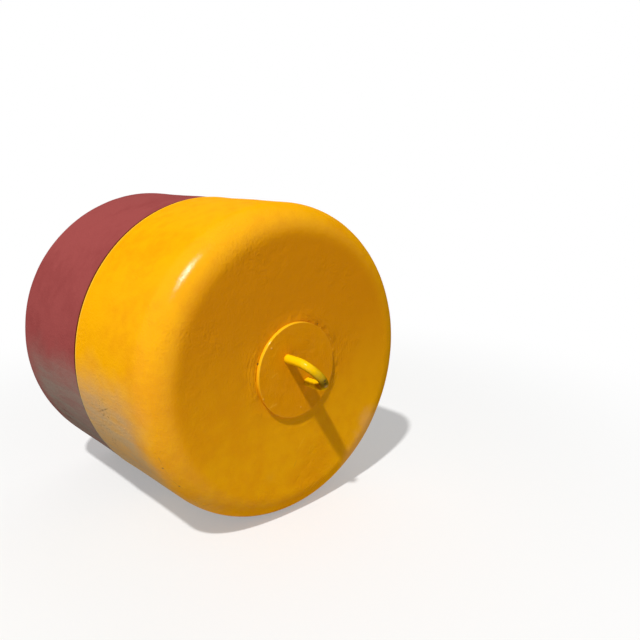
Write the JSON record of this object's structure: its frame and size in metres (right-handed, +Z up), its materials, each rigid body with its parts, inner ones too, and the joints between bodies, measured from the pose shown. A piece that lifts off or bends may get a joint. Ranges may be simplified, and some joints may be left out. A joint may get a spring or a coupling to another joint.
{
  "type": "mooring buoy",
  "caption": "Foam-filled cylindrical mooring buoy lying on its side, yellow at one end and red at the other, with a bent-bar mooring eye in the steel plate of each end.",
  "frame": {"origin": "on the ground under the middle of the foam core, with the buoy lying on its side", "axes": "+X along the buoy's axis from the red end to the yellow end, +Z up, +Y across"},
  "size_m": [1.7852, 1.4996, 1.497],
  "materials": {
    "yellow_elastomer": "semi-gloss sprayed elastomer with fine orange peel",
    "red_elastomer": "dull red-oxide sprayed elastomer",
    "yellow_painted_steel": "thick semi-gloss yellow marine paint",
    "red_painted_steel": "dull red-oxide marine paint",
    "primed_steel": "matt grey primer",
    "weld_metal": "as welded",
    "closed_cell_foam": "matt closed-cell foam"
  },
  "bodies": {
    "root": {"centre_tube": "primed_steel", "foam_core": "closed_cell_foam", "red_end_plate": "red_painted_steel", "red_gusset_1": "primed_steel", "red_gusset_2": "primed_steel", "red_gusset_3": "primed_steel", "red_gusset_4": "primed_steel", "red_leg_welds": "weld_metal", "red_mooring_eye": "red_painted_steel", "red_plate_weld": "weld_metal", "red_skin": "red_elastomer", "yellow_end_plate": "yellow_painted_steel", "yellow_gusset_1": "primed_steel", "yellow_gusset_2": "primed_steel", "yellow_gusset_3": "primed_steel", "yellow_gusset_4": "primed_steel", "yellow_leg_welds": "weld_metal", "yellow_mooring_eye": "yellow_painted_steel", "yellow_plate_weld": "weld_metal", "yellow_skin": "yellow_elastomer"}
  },
  "joints": []
}
